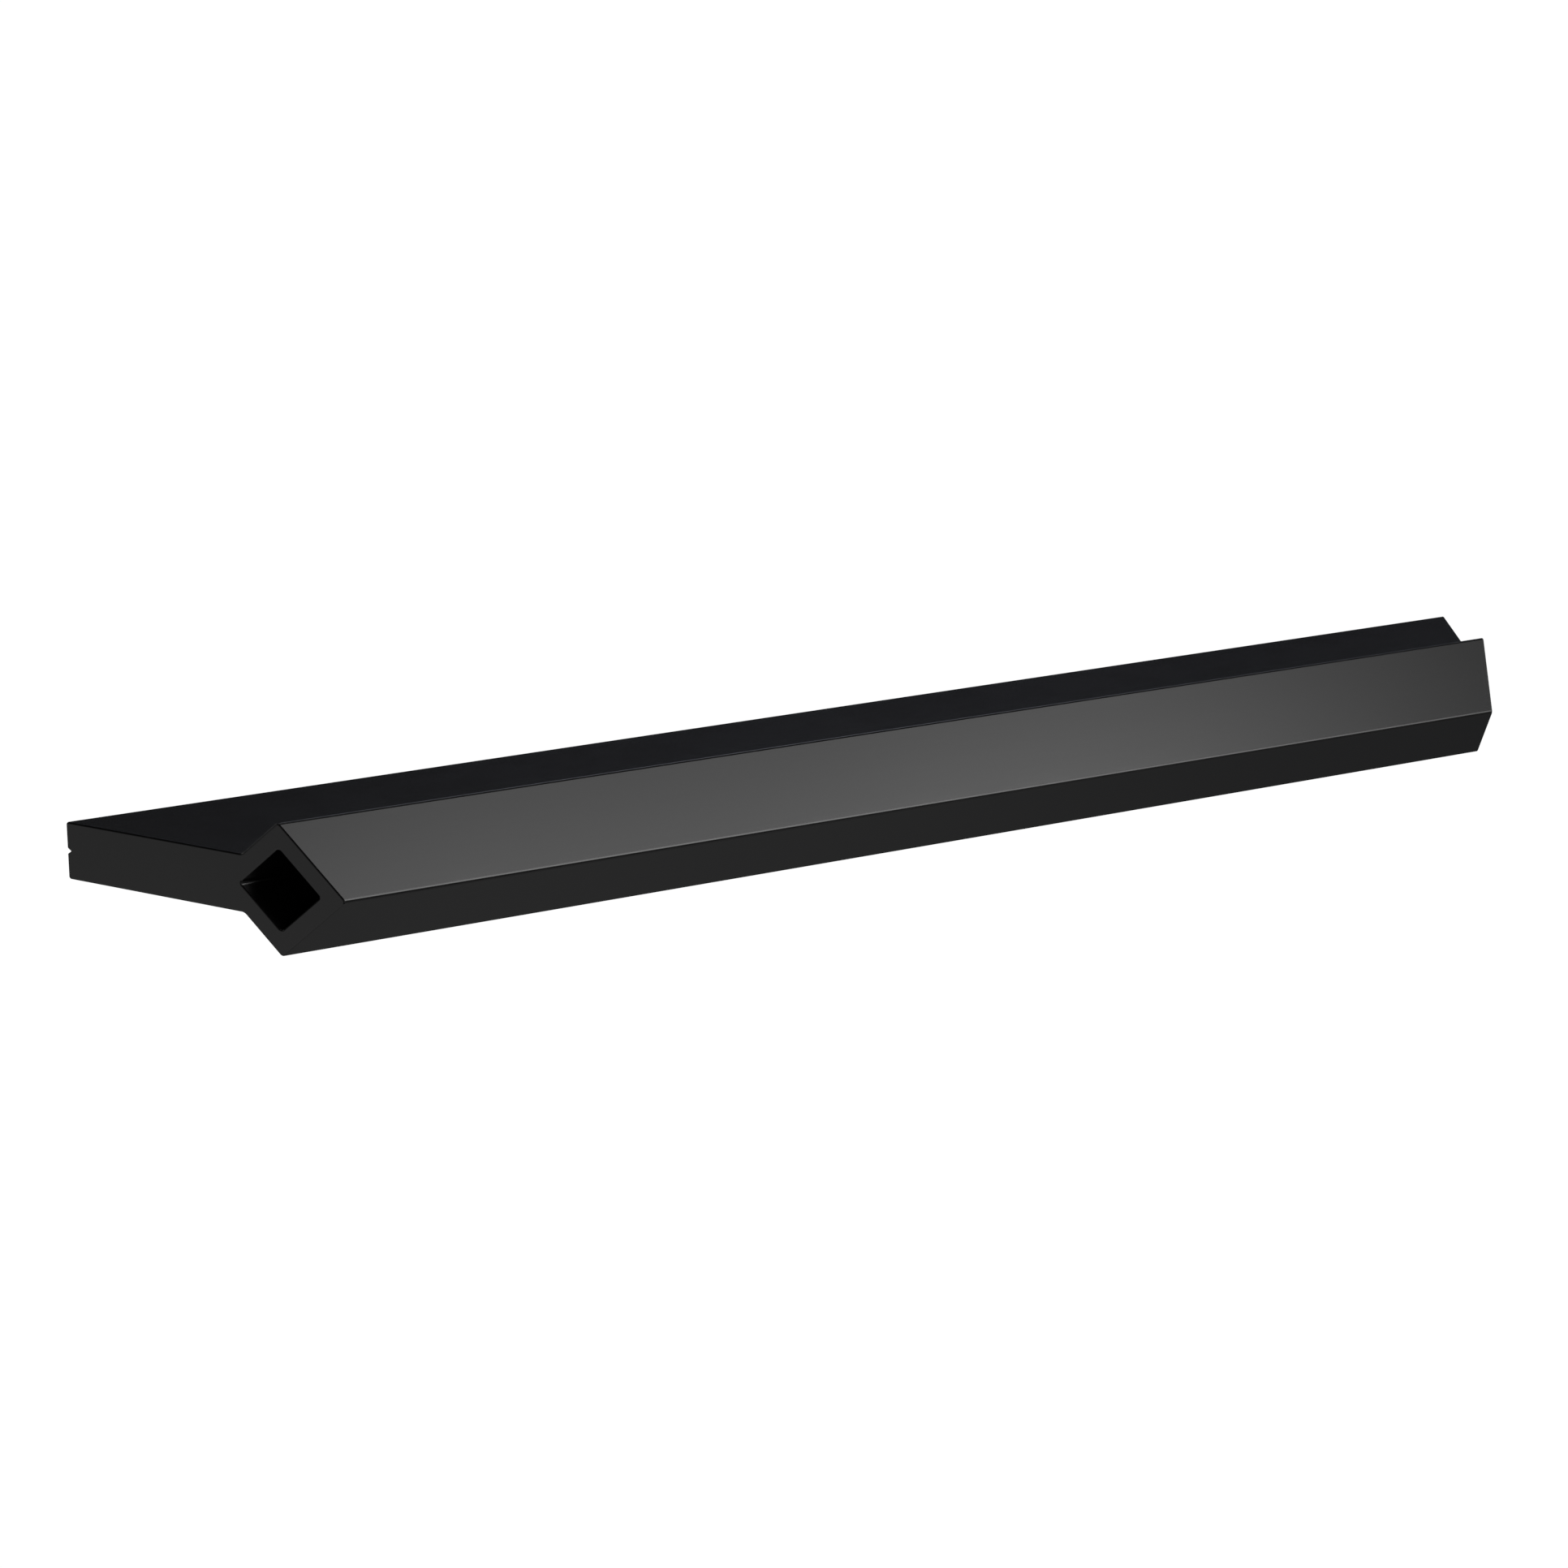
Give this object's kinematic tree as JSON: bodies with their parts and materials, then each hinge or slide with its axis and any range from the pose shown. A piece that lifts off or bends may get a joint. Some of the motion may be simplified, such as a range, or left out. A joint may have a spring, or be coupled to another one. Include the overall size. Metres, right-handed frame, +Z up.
{
  "type": "cabinet drawer pull",
  "caption": "Long drawer pull with mitred ends: a flat metal web carries a hollow diamond-section nose to grip, and its rear edge screws to a drawer front.",
  "frame": {"origin": "middle of the rear face, halfway between the two fixing holes", "axes": "+X along the pull, +Y out of the rear face into the drawer front, +Z up; the nose stands out towards -Y"},
  "size_m": [0.1998, 0.0338, 0.0154],
  "materials": {
    "black_anodised_aluminium": "smooth satin, black anodised",
    "insert_steel": "bare stainless"
  },
  "bodies": {
    "root": {"pull_bar": "black_anodised_aluminium", "thread_insert_left": "insert_steel", "thread_insert_right": "insert_steel"}
  },
  "joints": []
}
